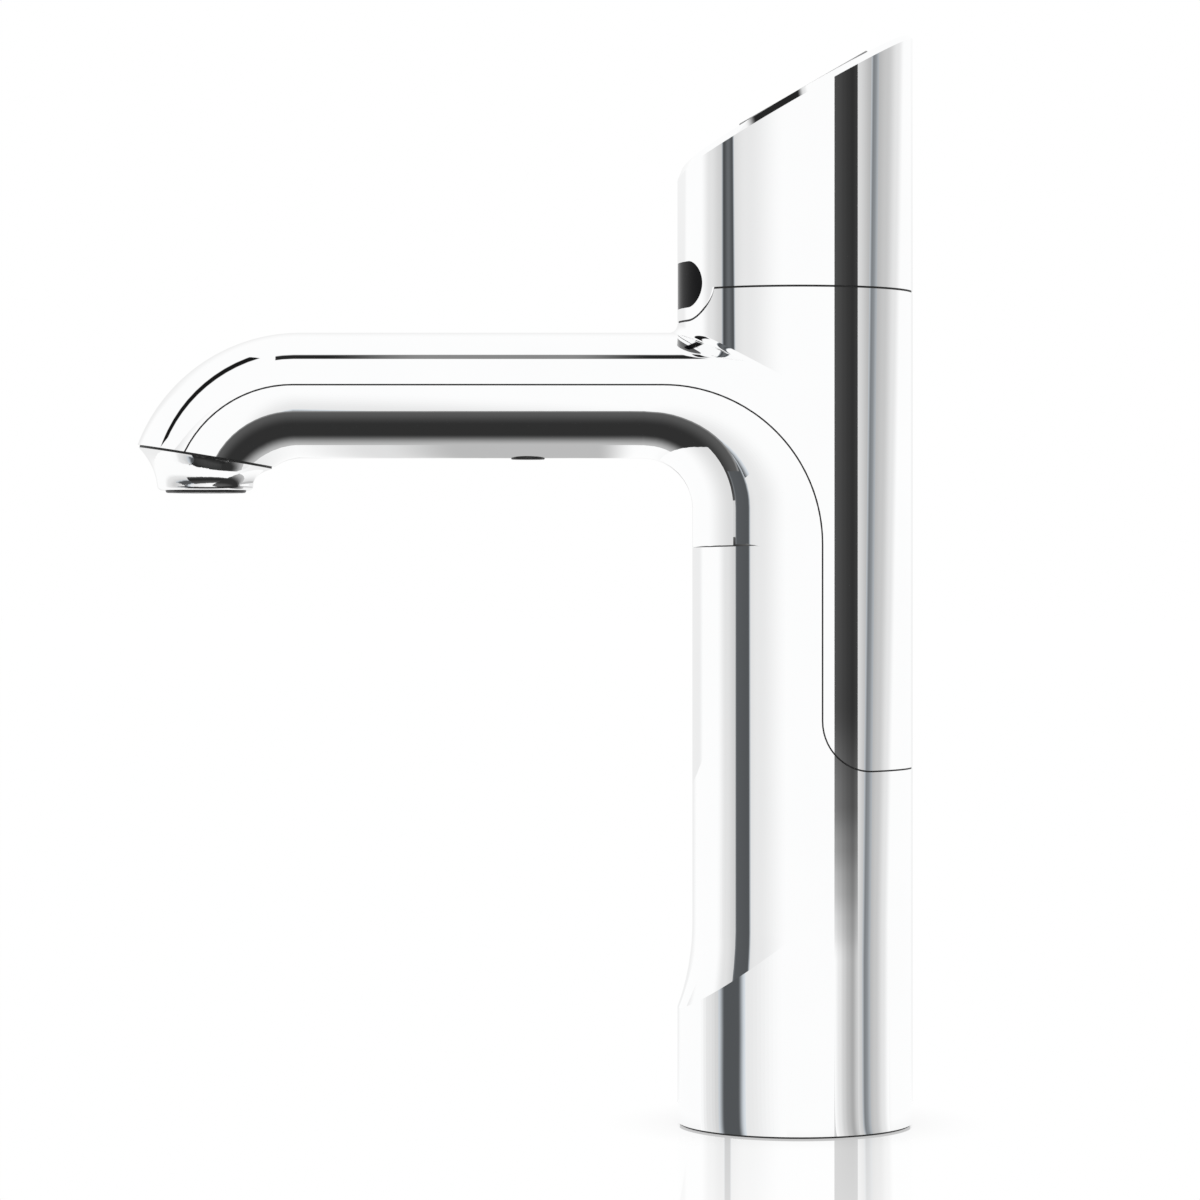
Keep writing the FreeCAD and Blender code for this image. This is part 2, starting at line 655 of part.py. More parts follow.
def head_shell():
    """Chrome head with the slanted top, the pocket of the buttons and the opening of the window."""
    foot_z = WINDOW_Z - TONGUE_R - OVERLAP
    solid = cylinder(COLUMN_R, foot_z, HEAD_BACK_Z + FAR).common(head_top_block())
    solid = solid.makeChamfer(HEAD_BEVEL, rim_edges(solid))
    ceiling = on_slant(box(-FAR, FAR, -FAR, FAR, -HEAD_TOP_WALL, 2 * FAR))
    solid = solid.cut(cylinder(COLUMN_BORE_R, 0, HEAD_BACK_Z + FAR).cut(ceiling))
    seam_z = HEAD_SEAM_Z + HEAD_GAP / 2
    head = solid.common(box(-FAR, FAR, -FAR, FAR, seam_z, HEAD_BACK_Z + FAR))
    tongue = solid.common(slot(TONGUE_R))
    posts = [on_slant(cylinder(POST_R, -BOARD_DEPTH, OVERLAP - HEAD_TOP_WALL, u, v))
             for u, v in board_places()]
    head = fuse([head, tongue] + head_bosses() + posts)
    pocket = on_slant(cylinder(PAD_R + POCKET_CLEARANCE, -POCKET_DEPTH, FAR))
    holes = [on_slant(cylinder(PLUNGER_R + PLUNGER_CLEARANCE, -HEAD_TOP_WALL, 0, 0, v))
             for v in (-PLUNGER_Y, PLUNGER_Y)]
    pilot_end = BOARD_SCREW_REACH + PILOT_SPARE - BOARD_DEPTH
    pilots = [on_slant(cylinder(SCREW_R + FIT, -BOARD_DEPTH, pilot_end, u, v)) for u, v in board_places()]
    opening = slot(WINDOW_R).cut(cylinder(COLUMN_BORE_R - OVERLAP, foot_z, HEAD_BACK_Z))
    return cut(head, [pocket, opening] + holes + pilots)


def head_gasket():
    """Thin ring in the seam under the head, round the tongue too."""
    low, high = HEAD_SEAM_Z - HEAD_GAP / 2, HEAD_SEAM_Z + HEAD_GAP / 2
    ring = tube(COLUMN_R - SEAL_INSET, COLUMN_BORE_R, LEDGE_Z, HEAD_BACK_Z)
    flat = ring.common(box(-FAR, FAR, -FAR, FAR, low, high)).cut(slot(TONGUE_R))
    loop = ring.common(slot(TONGUE_R, HEAD_GAP)).cut(slot(TONGUE_R))
    return flat.fuse(loop.common(box(-FAR, 0, -FAR, FAR, 0, high)))


def sensor_window():
    """Dark window, flush with the head, with a flange behind the wall."""
    low, high = WINDOW_Z - 2 * TONGUE_R, WINDOW_Z + 2 * TONGUE_R
    plug = tube(COLUMN_R - FIT, WINDOW_BACK_R, low, high).common(slot(WINDOW_R, -WINDOW_CLEARANCE))
    flange = tube(COLUMN_BORE_R - FIT, WINDOW_BACK_R, low, high).common(slot(WINDOW_R, WINDOW_FLANGE_RIM))
    return plug.fuse(flange)


def along_x(radius, x0, x1, y, z):
    return Part.makeCylinder(radius, x1 - x0, Vector(x0, y, z), Vector(1, 0, 0))


def sensor_holder():
    """Block that fills the space between the curved window and the flat sensor board."""
    low, high = WINDOW_Z - SENSOR_HALF_Z, WINDOW_Z + SENSOR_HALF_Z
    block = cylinder(HOLDER_R, low, high)
    block = block.common(box(-FAR, SENSOR_BOARD_X, -SENSOR_HALF_Y, SENSOR_HALF_Y, low, high))
    return cut(block, [along_x(SENSOR_R + FIT, -FAR, 0, y, WINDOW_Z) for y in (-SENSOR_Y, SENSOR_Y)])


def sensor_eye(y):
    return along_x(SENSOR_R, SENSOR_FRONT_X, SENSOR_BOARD_X, y, WINDOW_Z)


def sensor_board():
    return box(SENSOR_BOARD_X, SENSOR_BOARD_X + SENSOR_BOARD_T, -SENSOR_HALF_Y, SENSOR_HALF_Y,
               WINDOW_Z - SENSOR_HALF_Z, WINDOW_Z + SENSOR_HALF_Z)


def pad_roof():
    """Everything below the pad's top, which falls from its middle line to both sides like a low roof."""
    eaves = PAD_PROUD - (PAD_RIDGE - PAD_PROUD) * OVERLAP / PAD_R
    half = PAD_R + OVERLAP
    outline = [Vector(-half, -half, -FAR), Vector(-half, half, -FAR), Vector(-half, half, eaves),
               Vector(-half, 0, PAD_RIDGE), Vector(-half, -half, eaves), Vector(-half, -half, -FAR)]
    return Part.Face(Part.makePolygon(outline)).extrude(Vector(2 * half, 0, 0))


def button(side):
    """Half-round push button on one side of the middle line of the slanted top."""
    disc = cylinder(PAD_R, PAD_PROUD - BUTTON_T, PAD_RIDGE).common(pad_roof())
    half = disc.common(box(-FAR, FAR, BUTTON_GAP / 2, FAR, -FAR, FAR))
    top = [e for e in half.Edges if e.BoundBox.ZMin > PAD_PROUD - FIT]
    half = half.makeFillet(PAD_EDGE_R, top)
    if side < 0:
        half.rotate(Vector(0, 0, 0), Z_AXIS, 180)
    return on_slant(half)


def plunger(side):
    return on_slant(cylinder(PLUNGER_R, -PLUNGER_END, PAD_PROUD - BUTTON_T, 0, side * PLUNGER_Y))


def switch(side):
    """Push switch on the control board, below a plunger."""
    stem_top = -PLUNGER_END - SWITCH_GAP
    half = SWITCH_SIDE / 2
    y = side * PLUNGER_Y
    body = box(-half, half, y - half, y + half, -BOARD_DEPTH, stem_top - SWITCH_STEM_H)
    return on_slant(body.fuse(cylinder(SWITCH_STEM_R, stem_top - SWITCH_STEM_H, stem_top, 0, y)))


def control_board():
    board = cylinder(BOARD_R, -BOARD_DEPTH - BOARD_T, -BOARD_DEPTH, BOARD_U)
    return on_slant(cut(board, [cylinder(SCREW_R + LOOSE, -FAR, 0, u, v) for u, v in board_places()]))


def board_screws():
    seat = -BOARD_DEPTH - BOARD_T
    tip = BOARD_SCREW_REACH - BOARD_DEPTH
    return Part.makeCompound([on_slant(screw(u, v, seat, tip)) for u, v in board_places()])


def cable_end():
    """Distance up the slope to the connector, where the leaning end of the cable meets it."""
    lean = math.radians(HEAD_SLANT)
    end_x = -CABLE_BEND_R * (1 - math.cos(lean)) - CABLE_TAIL * math.sin(lean)
    depth = BOARD_DEPTH + BOARD_T + CONNECTOR_H
    return (end_x - PAD_X - depth * math.sin(lean)) / math.cos(lean)


def board_connector():
    u, top = cable_end(), -BOARD_DEPTH - BOARD_T
    return on_slant(box(u - CONNECTOR_LENGTH / 2, u + CONNECTOR_LENGTH / 2, -CONNECTOR_WIDTH / 2,
                        CONNECTOR_WIDTH / 2, top - CONNECTOR_H, top))


def signal_cable():
    """Cable from the gland in the base, up the axis, to the connector under the control board."""
    lean = math.radians(HEAD_SLANT)
    u, depth = cable_end(), BOARD_DEPTH + BOARD_T + CONNECTOR_H
    end = point(PAD_X + u * math.cos(lean) + depth * math.sin(lean),
                PAD_Z + u * math.sin(lean) - depth * math.cos(lean))
    corner = point(0, end.z + end.x / math.tan(lean))
    return bent_tube([point(0, FITTING_FOOT_Z), corner, end], CABLE_BEND_R, CABLE_R)


def water_tube(side):
    """Tube from its inlet up the column and along the spout to the manifold."""
    y = side * TUBE_Y
    end = point(MANIFOLD_BACK_X - SOCKET_DEPTH, TUBE_RUN_Z, y)
    places = [point(0, TUBE_FOOT_Z, y), point(0, TUBE_RUN_Z, y), end]
    return bent_tube(places, TUBE_BEND_R, TUBE_R, TUBE_R - TUBE_WALL)


def inlet(side):
    """Fitting in the base plate: a bore for the supply below, a socket for the tube above."""
    y = side * TUBE_Y
    body = cylinder(INLET_R, FITTING_FOOT_Z, PLATE_TOP_Z, 0, y)
    collar = cylinder(INLET_COLLAR_R, PLATE_TOP_Z, PLATE_TOP_Z + INLET_COLLAR_H, 0, y)
    bore = cylinder(INLET_BORE_R, 0, TUBE_FOOT_Z, 0, y)
    socket = cylinder(TUBE_R + FIT, TUBE_FOOT_Z, PLATE_TOP_Z + FAR, 0, y)
    return cut(body.fuse(collar), [bore, socket])


def cable_gland():
    return tube(GLAND_R, CABLE_R + FIT, FITTING_FOOT_Z, PLATE_TOP_Z + INLET_COLLAR_H)


def base_plate():
    """Heavy plate in the foot, whose hub fills the gasket, with two tapped stud holes."""
    hub = cylinder(BASE_GASKET_BORE_R - LOOSE, 0, PLATE_TOP_Z)
    plate = cylinder(PLATE_R, BODY_FOOT_Z, PLATE_TOP_Z).fuse(hub)
    holes = [cylinder(STUD_R, 0, FAR, x) for x in (-STUD_X, STUD_X)]
    holes += [cylinder(INLET_R + FIT, 0, FAR, 0, y) for y in (-TUBE_Y, TUBE_Y)]
    holes.append(cylinder(GLAND_R + FIT, 0, FAR))
    for x, y in around(BASE_BOSS_RING_R, BASE_BOSS_ANGLES):
        holes.append(cylinder(SCREW_R + LOOSE, 0, FAR, x, y))
        holes.append(cylinder(SCREW_HEAD_R + LOOSE, 0, PLATE_SEAT_Z, x, y))
    return cut(plate, holes)


def base_plate_screws():
    places = around(BASE_BOSS_RING_R, BASE_BOSS_ANGLES)
    return Part.makeCompound([screw(x, y, PLATE_SEAT_Z, PLATE_SCREW_TIP_Z) for x, y in places])


def head_screws():
    places = around(HEAD_BOSS_RING_R, HEAD_BOSS_ANGLES)
    return Part.makeCompound([screw(x, y, LEDGE_Z, HEAD_SCREW_TIP_Z) for x, y in places])


def base_gasket():
    return tube(COLUMN_R - BASE_GASKET_INSET, BASE_GASKET_BORE_R, 0, BASE_GASKET_T)


def tube_guides():
    """Two clips that hold the tubes and the cable together in the column."""
    half_y = TUBE_Y + TUBE_R + GUIDE_RIM
    clips = []
    for z in (GUIDE_LOW_Z, GUIDE_HIGH_Z):
        clip = box(-GUIDE_HALF_X, GUIDE_HALF_X, -half_y, half_y, z, z + GUIDE_T)
        holes = [cylinder(TUBE_R + FIT, z, z + GUIDE_T, 0, y) for y in (-TUBE_Y, TUBE_Y)]
        clips.append(cut(clip, holes + [cylinder(CABLE_R + FIT, z, z + GUIDE_T)]))
    return Part.makeCompound(clips)


def spout_guide():
    """Saddle that holds the tubes over the floor of the spout."""
    half_y = TUBE_Y + TUBE_R + SADDLE_RIM
    x0, x1 = SPOUT_GUIDE_X - GUIDE_T / 2, SPOUT_GUIDE_X + GUIDE_T / 2
    bar = box(x0, x1, -half_y, half_y, TUBE_RUN_Z - SADDLE_DROP, TUBE_RUN_Z + TUBE_R + SADDLE_RIM)
    foot = box(x0, x1, -SADDLE_FOOT, SADDLE_FOOT, UNDER_Z, TUBE_RUN_Z)
    room = spout_section(x0, SPOUT_WALL + SADDLE_LIFT).extrude(Vector(GUIDE_T, 0, 0))
    holes = [along_x(TUBE_R + FIT, x0, x1, y, TUBE_RUN_Z) for y in (-TUBE_Y, TUBE_Y)]
    return cut(bar.fuse(foot).common(room), holes)


def outlet_manifold():
    """Block over the nozzle that joins both tubes to the outlet."""
    low = END_Z - FAR / 4
    block = box(MANIFOLD_FRONT_X, MANIFOLD_BACK_X, -MANIFOLD_HALF_Y, MANIFOLD_HALF_Y, low, MANIFOLD_TOP_Z)
    wings = box(END_X - EAR_R, END_X + EAR_R, -EAR_Y, EAR_Y, low, EAR_TOP_Z)
    collar = cylinder(OUTLET_SEAL_R + COLLAR_RIM, low, EAR_TOP_Z, END_X)
    ears = [cylinder(EAR_R, low, EAR_TOP_Z, END_X, y) for y in (-EAR_Y, EAR_Y)]
    body = fuse([block, wings, collar] + ears).cut(below_end(SPIGOT_H))
    holes = []
    for y in (-TUBE_Y, TUBE_Y):
        holes.append(along_x(TUBE_R + FIT, MANIFOLD_BACK_X - SOCKET_DEPTH, MANIFOLD_BACK_X, y, TUBE_RUN_Z))
        holes.append(along_x(TUBE_R - TUBE_WALL, END_X, MANIFOLD_BACK_X, y, TUBE_RUN_Z))
    across = Part.makeCylinder(TUBE_R - TUBE_WALL, 2 * TUBE_Y, Vector(END_X, -TUBE_Y, TUBE_RUN_Z), Y_AXIS)
    down = cylinder(OUTLET_BORE_R, low, TUBE_RUN_Z, END_X)
    seat = on_end(cylinder(OUTLET_SEAL_R + FIT, SPIGOT_H, SPIGOT_H + OUTLET_SEAL_T))
    ears = [cylinder(SCREW_R + LOOSE, low, EAR_TOP_Z, END_X, y) for y in (-EAR_Y, EAR_Y)]
    return cut(body, holes + [across, down, seat] + ears)


def manifold_seal():
    return on_end(tube(OUTLET_SEAL_R, OUTLET_SEAL_BORE_R, SPIGOT_H, SPIGOT_H + OUTLET_SEAL_T))


def manifold_screws():
    return Part.makeCompound([screw(END_X, y, EAR_TOP_Z, MANIFOLD_SCREW_TIP_Z) for y in (-EAR_Y, EAR_Y)])


def outlet_nozzle():
    """Nozzle that flares from the oval spout end down to the round outlet."""
    wires = []
    for step in range(NOZZLE_STEPS + 1):
        share = step / NOZZLE_STEPS
        height = -NOZZLE_GASKET_T + (NOZZLE_RIM_Z - END_Z + NOZZLE_GASKET_T) * share
        wires.append(end_outline(NOZZLE_INSET, height, (1 - share) ** NOZZLE_FLARE, END_TILT * (1 - share)))
    flare = Part.makeLoft(wires, True, False)
    rim = [e for e in flare.Edges if e.BoundBox.ZMax < NOZZLE_RIM_Z + FIT]
    flare = flare.makeFillet(NOZZLE_RIM_R, rim)
    spigot = end_plate(SPOUT_WALL + SPIGOT_CLEARANCE, -NOZZLE_GASKET_T, SPIGOT_H)
    body = flare.fuse(spigot)
    pocket = cylinder(INSERT_R + FIT, 0, NOZZLE_RIM_Z + INSERT_H, END_X)
    bore = cylinder(OUTLET_BORE_R, NOZZLE_RIM_Z, END_Z + FAR, END_X)
    pilot_end = MANIFOLD_SCREW_TIP_Z - PILOT_SPARE
    pilots = [cylinder(SCREW_R + FIT, pilot_end, EAR_TOP_Z, END_X, y) for y in (-EAR_Y, EAR_Y)]
    return cut(body, [pocket, bore] + pilots)


def nozzle_gasket():
    """Dark ring between the ends of the shells and the nozzle."""
    outer_edge = end_plate(NOZZLE_INSET + SEAL_INSET, -NOZZLE_GASKET_T, 0)
    return outer_edge.cut(end_plate(SPOUT_WALL + SPIGOT_CLEARANCE - FIT, -NOZZLE_GASKET_T, 0))


def flow_straightener():
    """Black insert in the outlet, with rings of small holes."""
    low, high = NOZZLE_RIM_Z - INSERT_PROUD, NOZZLE_RIM_Z + INSERT_H
    disc = cylinder(INSERT_R, low, high, END_X)
    rim = [e for e in disc.Edges if e.BoundBox.ZMax < low + FIT]
    disc = disc.makeFillet(INSERT_EDGE_R, rim)
    holes = [cylinder(INSERT_HOLE_R, low, high, END_X)]
    for ring, count in ((1, 6), (2, 12)):
        for step in range(count):
            turn = 2 * math.pi * step / count
            reach = ring * INSERT_HOLE_PITCH
            x, y = END_X + reach * math.cos(turn), reach * math.sin(turn)
            holes.append(cylinder(INSERT_HOLE_R, low, high, x, y))
    return cut(disc, holes)


def spout_screw():
    return screw(SPOUT_SCREW_X, 0, SPOUT_SEAT_Z, SPOUT_TIP_Z,
                 SPOUT_SCREW_R, SPOUT_SCREW_HEAD_R, SPOUT_SCREW_HEAD_H)


def spout_screw_plug():
    low = UNDER_Z - PLUG_PROUD
    plug = cylinder(PLUG_R, low, PLUG_TOP_Z, SPOUT_SCREW_X)
    rim = [e for e in plug.Edges if e.BoundBox.ZMax < low + FIT]
    return plug.makeFillet(PLUG_EDGE_R, rim)


inner = form(COLUMN_WALL, SPOUT_WALL, 0, HEAD_SEAM_Z)
outer = form(0, 0, BODY_FOOT_Z, HEAD_SEAM_Z - HEAD_GAP / 2).fuse(crease_fillet())
shell = outer.cut(inner)

nodes = {
    "front_body": front_body(shell),
    "rear_shell": rear_shell(shell),
    "parting_seal": parting_seal(inner),
    "head_shell": head_shell(),
    "head_gasket": head_gasket(),
    "head_screws": head_screws(),
    "sensor_window": sensor_window(),
    "sensor_holder": sensor_holder(),
    "sensor_board": sensor_board(),
    "infrared_emitter": sensor_eye(-SENSOR_Y),
    "infrared_receiver": sensor_eye(SENSOR_Y),
    "boil_button": button(-1),
    "chill_button": button(1),
    "boil_plunger": plunger(-1),
    "chill_plunger": plunger(1),
    "boil_switch": switch(-1),
    "chill_switch": switch(1),
    "control_board": control_board(),
    "board_screws": board_screws(),
    "board_connector": board_connector(),
    "signal_cable": signal_cable(),
    "cable_gland": cable_gland(),
    "base_plate": base_plate(),
    "base_plate_screws": base_plate_screws(),
    "base_gasket": base_gasket(),
    "boiling_inlet": inlet(-1),
    "chilled_inlet": inlet(1),
    "boiling_tube": water_tube(-1),
    "chilled_tube": water_tube(1),
    "tube_guides": tube_guides(),
    "spout_guide": spout_guide(),
    "outlet_manifold": outlet_manifold(),
    "manifold_seal": manifold_seal(),
    "manifold_screws": manifold_screws(),
    "outlet_nozzle": outlet_nozzle(),
    "nozzle_gasket": nozzle_gasket(),
    "flow_straightener": flow_straightener(),
    "spout_screw": spout_screw(),
    "spout_screw_plug": spout_screw_plug(),
}

os.makedirs("parts", exist_ok=True)
for name, shape in nodes.items():
    print(name, shape.isValid(), len(shape.Solids), round(shape.Volume, 1))
    shape.exportStep("parts/" + name + ".step")
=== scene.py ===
import json
import math

import bpy
import numpy as np
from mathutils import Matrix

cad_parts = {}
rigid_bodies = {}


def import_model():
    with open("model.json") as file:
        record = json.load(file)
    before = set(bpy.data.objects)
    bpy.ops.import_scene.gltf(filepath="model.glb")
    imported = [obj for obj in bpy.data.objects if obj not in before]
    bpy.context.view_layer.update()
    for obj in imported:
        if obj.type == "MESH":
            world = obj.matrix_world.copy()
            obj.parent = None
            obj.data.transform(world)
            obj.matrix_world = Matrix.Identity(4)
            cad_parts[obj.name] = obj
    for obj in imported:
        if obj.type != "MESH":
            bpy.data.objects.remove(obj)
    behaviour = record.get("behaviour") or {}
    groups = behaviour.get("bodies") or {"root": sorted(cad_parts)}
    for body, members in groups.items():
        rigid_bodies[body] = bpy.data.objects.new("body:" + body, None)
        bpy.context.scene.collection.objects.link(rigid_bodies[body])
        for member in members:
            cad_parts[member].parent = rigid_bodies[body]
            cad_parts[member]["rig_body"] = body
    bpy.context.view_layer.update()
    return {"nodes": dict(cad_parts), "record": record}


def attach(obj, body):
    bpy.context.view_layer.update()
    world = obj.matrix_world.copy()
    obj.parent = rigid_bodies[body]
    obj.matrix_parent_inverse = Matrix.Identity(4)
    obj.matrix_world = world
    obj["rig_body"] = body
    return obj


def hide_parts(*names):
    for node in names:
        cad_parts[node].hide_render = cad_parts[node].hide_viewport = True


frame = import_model()

# Sizes of the polished forms, in metres, as in the solids
COLUMN_R = 0.030
RECESS_FRONT = 0.0262
RECESS_FOOT_Z = 0.0296
FLARE_R = 0.056
SPOUT_Z = 0.1874
SPOUT_RISE = 0.0144
SPOUT_DROP = 0.0176
INNER_CORNER_R = 0.0129
TIP_X = -0.1262
TIP_Z = 0.1576
CREASE_R = 0.0022
HEAD_BACK_Z = 0.2784
HEAD_SLANT = math.radians(30)
HEAD_BROW_X = -0.0245
HEAD_BROW_R = 0.022
HEAD_BEVEL = 0.0017

# How far the corners of a facet may lie off a form, and the least cosine of the angle between the two
FORM_REACH = 0.00012
FORM_LEAN = 0.94

# Distance that stands for places outside a form's own stretch
OUTSIDE = 1

# Guard against division by zero, and the least squared width that the inner corner keeps at the flanks
TINY = 1e-12
LEAST_WIDTH = 1e-6

# Search for the nearest place of a curve: first span in radians, rounds, tries, narrowing in each round
SEARCH_SPAN = 0.2
SEARCH_ROUNDS = 4
SEARCH_TRIES = 21
SEARCH_NARROWS = 8

# Places across the spout's crown at which the crease's rolling ball is worked out
CREASE_STEPS = 721

# Digits of a metre in which corners agree that are welded, and the angle from which an edge stays sharp
WELD_DIGITS = 7
SHARP_ANGLE = math.radians(28)

# Part of the noise that the finishes spread out, and the roughness before a finish varies it
NOISE_LOW = 0.3
NOISE_HIGH = 0.7
PLAIN_ROUGHNESS = 0.4

# Heights of the strips and of the walls that start on the floor
CARD_LIFT = 0.0004
WALL_LIFT = CARD_LIFT / 4

# Facets of a card along its width, and the shares of its length at which it may bend
CARD_STEPS = 24
CARD_RISES = (0, 0.5, 1)

# The cool grey of the dark strips, the height of the cards under the spout, half the width of the floor
SLATE = (0.94, 1, 1.06)
SHELF_Z = 0.147
FLOOR_HALF = 8

CORNER_X = -(RECESS_FRONT + INNER_CORNER_R)
CORNER_Z = SPOUT_Z - SPOUT_DROP - INNER_CORNER_R


def unit(vectors):
    """The vectors at length one."""
    return vectors / np.maximum(np.linalg.norm(vectors, axis=1, keepdims=True), TINY)


def cylinder_form(p):
    """Distance from the full column wall, and its normals."""
    r = np.hypot(p[:, 0], p[:, 1])
    return r - COLUMN_R, unit(p * [1, 1, 0])


def recess_form(p):
    """The recessed oval front of the column."""
    r = np.hypot(p[:, 0] / RECESS_FRONT, p[:, 1] / COLUMN_R)
    away = (r - 1) * RECESS_FRONT
    away[(p[:, 0] > 0) | (p[:, 2] > CORNER_Z)] = OUTSIDE
    return away, unit(p / [RECESS_FRONT ** 2, COLUMN_R ** 2, 1] * [1, 1, 0])


def flare_form(p):
    """The flare of the recess above the base."""
    grow = COLUMN_R ** 2 / RECESS_FRONT - COLUMN_R
    top = RECESS_FOOT_Z + FLARE_R * math.sin(math.acos(1 - grow / FLARE_R))
    wide = COLUMN_R + FLARE_R
    squeeze = COLUMN_R / RECESS_FRONT
    r = np.maximum(np.hypot(p[:, 0] * squeeze, p[:, 1]), TINY)
    out = wide - r
    normal = np.stack([out * p[:, 0] * squeeze ** 2 / r, out * p[:, 1] / r, top - p[:, 2]], 1)
    away = FLARE_R - np.hypot(out, top - p[:, 2])
    away[(p[:, 0] > 0) | (p[:, 2] > top)] = OUTSIDE
    return away, unit(normal)


def oval(side, height):
    """Distance from the spout's oval and the normal in its own plane."""
    reach = np.where(height > 0, SPOUT_RISE, SPOUT_DROP)
    away = (np.hypot(side / COLUMN_R, height / reach) - 1) * SPOUT_RISE
    return away, side / COLUMN_R ** 2, height / reach ** 2


def spout_form(p):
    """The straight run of the spout."""
    away, side, up = oval(p[:, 1], p[:, 2] - SPOUT_Z)
    away[(p[:, 0] < TIP_X) | ((p[:, 2] < SPOUT_Z) & (p[:, 0] > CORNER_X))] = OUTSIDE
    return away, unit(np.stack([np.zeros_like(side), side, up], 1))


def tip_form(p):
    """The bent tip of the spout."""
    x = p[:, 0] - TIP_X
    z = p[:, 2] - TIP_Z
    r = np.maximum(np.hypot(x, z), TINY)
    away, side, up = oval(p[:, 1], r - (SPOUT_Z - TIP_Z))
    away[p[:, 0] > TIP_X] = OUTSIDE
    return away, unit(np.stack([up * x / r, side, up * z / r], 1))


def bend_form(p):
    """The inner corner, whose section is a quarter oval that widens from the middle to the flanks."""
    w = np.sqrt(np.maximum(1 - (p[:, 1] / COLUMN_R) ** 2, LEAST_WIDTH))
    a = -CORNER_X - RECESS_FRONT * w
    b = SPOUT_Z - CORNER_Z - SPOUT_DROP * w
    x = p[:, 0] - CORNER_X
    z = p[:, 2] - CORNER_Z
    away = (1 - np.hypot(x / a, z / b)) * INNER_CORNER_R
    widening = x ** 2 * RECESS_FRONT / a ** 3 + z ** 2 * SPOUT_DROP / b ** 3
    lean = widening * p[:, 1] / (COLUMN_R ** 2 * w)
    away[(x < 0) | (z < 0) | (p[:, 0] > 0) | (p[:, 2] > SPOUT_Z)] = OUTSIDE
    return away, unit(np.stack([-x / a ** 2, lean, -z / b ** 2], 1))


def nearest_on(curve, p, turns, span):
    """Places of a curve that lie nearest to the points, searched round the given turns."""
    for _ in range(SEARCH_ROUNDS):
        tries = turns[:, None] + np.linspace(-span, span, SEARCH_TRIES)
        gaps = np.linalg.norm(curve(tries) - p[:, None], axis=2)
        turns = np.take_along_axis(tries, gaps.argmin(1)[:, None], 1)[:, 0]
        span /= SEARCH_NARROWS
    return curve(turns)


def crease_centres(turns):
    """Centres of the ball that rolls in the crease between the spout's crown and the column."""
    over = np.linspace(-math.pi / 2, math.pi / 2, CREASE_STEPS)
    up = unit(np.stack([np.sin(over) / COLUMN_R, np.cos(over) / SPOUT_RISE], 1)) * CREASE_R
    ball_y = COLUMN_R * np.sin(over) + up[:, 0]
    ball_z = SPOUT_Z + SPOUT_RISE * np.cos(over) + up[:, 1]
    y = (COLUMN_R + CREASE_R) * np.sin(turns)
    return np.stack([-(COLUMN_R + CREASE_R) * np.cos(turns), y, np.interp(y, ball_y, ball_z)], -1)


def crease_form(p):
    """The fillet between the spout's crown and the column."""
    turns = np.arctan2(p[:, 1], -p[:, 0])
    way = nearest_on(crease_centres, p, turns, SEARCH_SPAN) - p
    away = CREASE_R - np.linalg.norm(way, axis=1)
    away[(p[:, 0] > 0) | (p[:, 2] < SPOUT_Z)] = OUTSIDE
    return away, unit(way)


def slant_form(p):
    """The slanted flat top of the head."""
    normal = np.array([-math.sin(HEAD_SLANT), 0, math.cos(HEAD_SLANT)])
    away = (p - [COLUMN_R, 0, HEAD_BACK_Z]) @ normal
    return away, np.tile(normal, (len(p), 1))


def brow_form(p):
    """The rolled front edge of the slanted top."""
    brow_z = HEAD_BACK_Z - (COLUMN_R - HEAD_BROW_X) * math.tan(HEAD_SLANT)
    x = p[:, 0] - HEAD_BROW_X - HEAD_BROW_R * math.sin(HEAD_SLANT)
    z = p[:, 2] - brow_z + HEAD_BROW_R * math.cos(HEAD_SLANT)
    away = np.hypot(x, z) - HEAD_BROW_R
    away[p[:, 0] > HEAD_BROW_X] = OUTSIDE
    return away, unit(np.stack([x, np.zeros_like(x), z], 1))


def bevel_form(p):
    """The bevel between the slanted top and the wall of the head."""
    wall_away, wall = cylinder_form(p)
    flat_away, flat = slant_form(p)
    brow_away, brow = brow_form(p)
    front = p[:, 0] < HEAD_BROW_X
    top_away = np.where(front, brow_away, flat_away)
    top = np.where(front[:, None], brow, flat)
    away = wall_away + top_away + HEAD_BEVEL * np.linalg.norm(np.cross(wall, top), axis=1)
    return away, unit(wall + top)


BODY_FORMS = (cylinder_form, recess_form, flare_form, spout_form, tip_form, bend_form, crease_form)
HEAD_FORMS = (cylinder_form, slant_form, brow_form, bevel_form)


def read(items, attribute, width, kind=np.float32):
    """All values of an attribute of a mesh's items, one row for each item."""
    values = np.empty(len(items) * width, kind)
    items.foreach_get(attribute, values)
    return values.reshape(-1, width)


def welded(node):
    """New mesh with the node's own facets, where facets that meet share their corners."""
    places = read(node.data.vertices, "co", 3)
    rounded = np.round(places, WELD_DIGITS)
    _, first, index = np.unique(rounded, axis=0, return_index=True, return_inverse=True)
    index = index.reshape(-1)
    facets = [[int(index[v]) for v in facet.vertices] for facet in node.data.polygons]
    facets = [facet for facet in facets if len(set(facet)) == len(facet)]
    mesh = bpy.data.meshes.new(node.name + "_polished")
    mesh.from_pydata(places[first].tolist(), [], facets)
    mesh.shade_smooth()
    mesh.set_sharp_from_angle(angle=SHARP_ANGLE)
    return mesh


